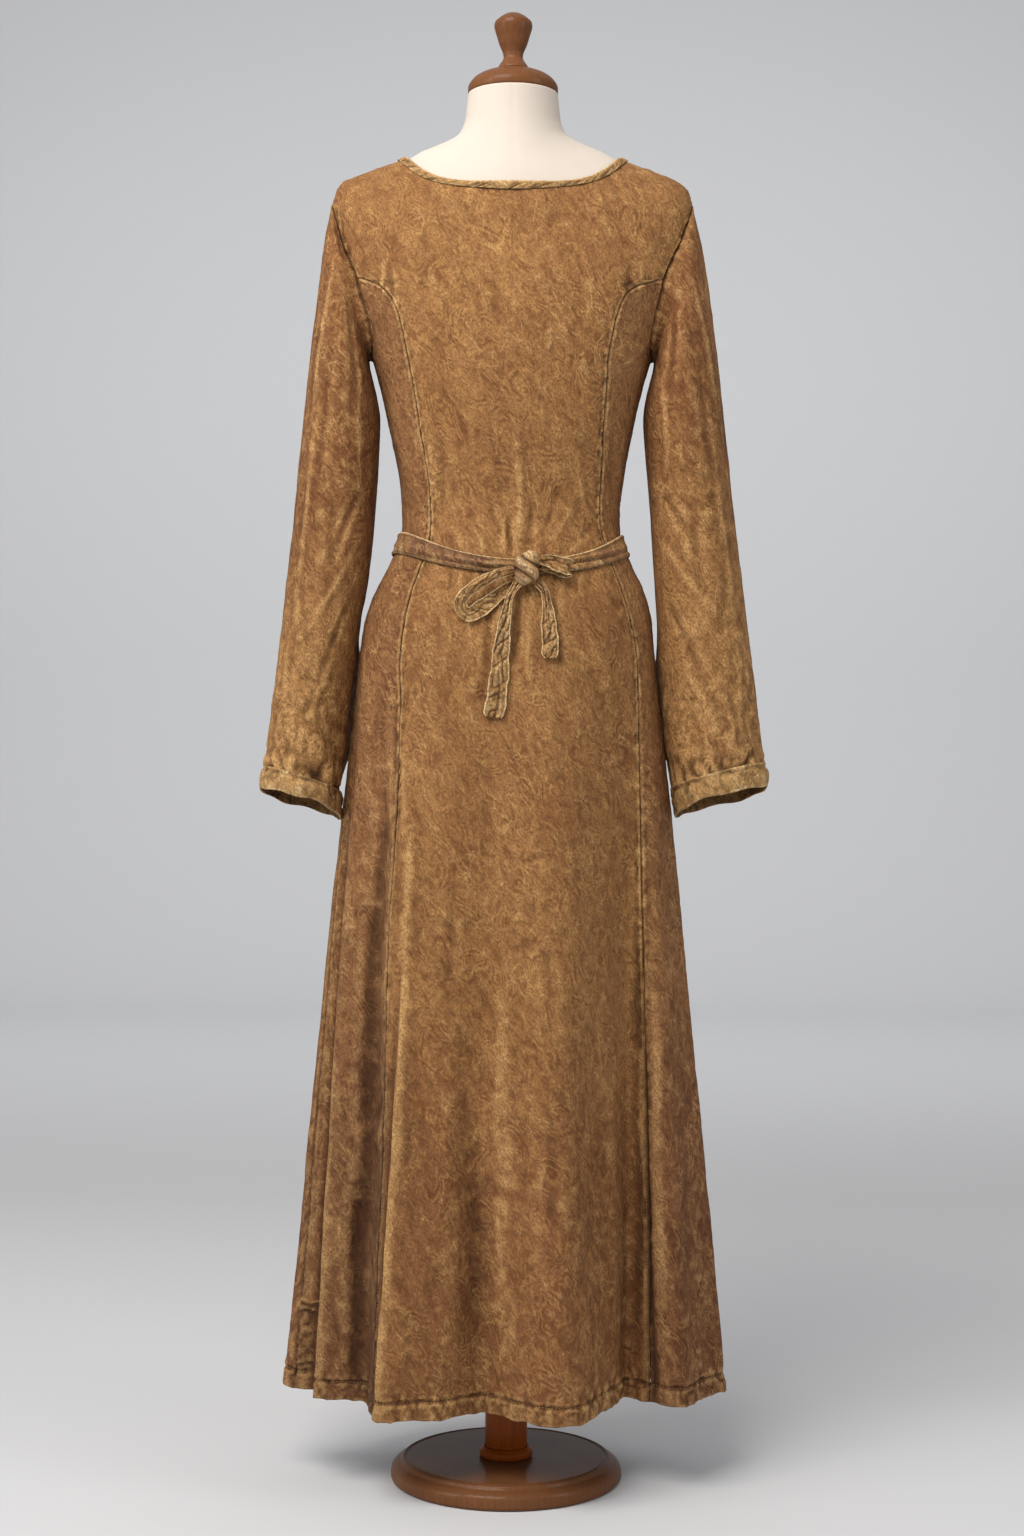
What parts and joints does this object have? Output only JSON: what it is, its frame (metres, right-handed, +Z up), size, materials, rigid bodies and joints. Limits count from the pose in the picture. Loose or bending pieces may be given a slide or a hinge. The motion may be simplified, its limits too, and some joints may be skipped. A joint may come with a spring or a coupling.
{
  "type": "boho dress on a dress form",
  "caption": "Long-sleeved princess-seamed maxi dress in mineral-washed cotton with a sash tied at the back, worn by a limbless dress form on a turned wooden stand.",
  "frame": {"origin": "centre of the wooden base's underside, on the floor", "axes": "+Z up along the pole; -Y towards the tied side, the dress's back; +Y towards its front; +X to the right as the tied side is looked at"},
  "size_m": [0.568, 0.3077, 1.6294],
  "materials": {
    "cloth_centre": "mineral-washed brown cotton, matt, mottled light and dark",
    "cloth_side": "mineral-washed brown cotton, matt, a little darker and redder",
    "cloth_sleeve": "mineral-washed brown cotton, matt, paler towards the cuffs",
    "cloth_trim": "mineral-washed brown cotton, worn pale on its puckered edges",
    "cloth_sash": "mineral-washed brown cotton, worn pale along its creases",
    "form_cover": "cream cotton stretched over the form, matt",
    "varnished_wood": "dark red-brown varnish, glossy, fine long grain"
  },
  "bodies": {
    "root": {"back_centre_panel": "cloth_centre", "front_centre_panel": "cloth_centre", "back_side_panel_left": "cloth_side", "back_side_panel_right": "cloth_side", "front_side_panel_left": "cloth_side", "front_side_panel_right": "cloth_side", "neck_binding": "cloth_trim", "sash": "cloth_sash", "sleeve_left": "cloth_sleeve", "cuff_left": "cloth_trim", "sleeve_right": "cloth_sleeve", "cuff_right": "cloth_trim", "bow_loop_left": "cloth_sash", "bow_loop_right": "cloth_sash", "bow_tail_long": "cloth_sash", "bow_tail_short": "cloth_sash", "bow_knot": "cloth_sash", "form_torso": "form_cover", "stand_base": "varnished_wood", "pole_collar": "varnished_wood", "stand_pole": "varnished_wood", "neck_cap": "varnished_wood", "finial": "varnished_wood"}
  },
  "joints": []
}
